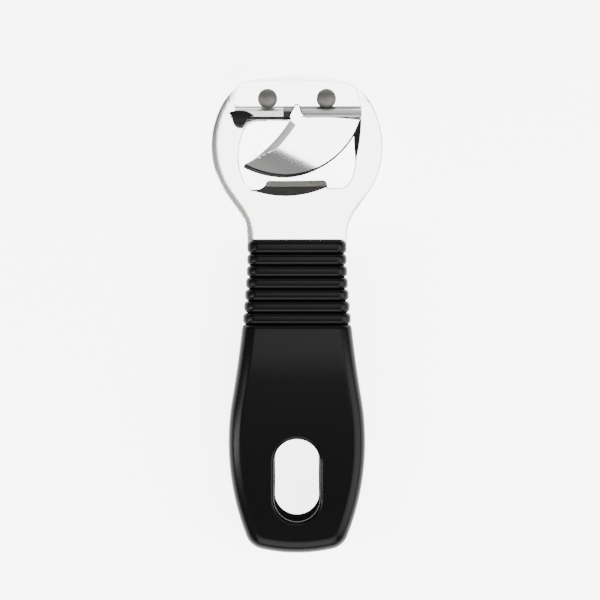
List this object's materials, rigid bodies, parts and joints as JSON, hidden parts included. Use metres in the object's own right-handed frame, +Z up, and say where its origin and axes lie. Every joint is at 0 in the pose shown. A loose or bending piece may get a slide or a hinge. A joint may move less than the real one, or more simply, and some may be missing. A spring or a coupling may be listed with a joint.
{
  "type": "can opener",
  "caption": "Fixed lever can opener: stamped ring head with riveted sickle blade, rim claw and cap-lifting tongue, on a ribbed moulded handle with an oval hanging hole",
  "frame": {"origin": "centre of the footprint of the bounding box, on the plane the tool lies on", "axes": "+Y runs from the handle end to the head, +X to the right seen from the working face, +Z up out of the working face; the tool lies on the back of its handle"},
  "size_m": [0.0506, 0.1401, 0.018],
  "materials": {
    "head_plate": "satin polished stainless sheet",
    "cutter_plate": "mirror polished hardened steel, ground cutting edge",
    "rivet": "polished rivet head",
    "handle_core": "moulded rigid plastic",
    "grip_sleeve": "smooth semi-gloss elastomer"
  },
  "bodies": {
    "root": {"head_plate": "head_plate", "cutter_plate": "cutter_plate", "left_rivet": "rivet", "right_rivet": "rivet", "handle_core": "handle_core", "grip_sleeve": "grip_sleeve"}
  },
  "joints": []
}
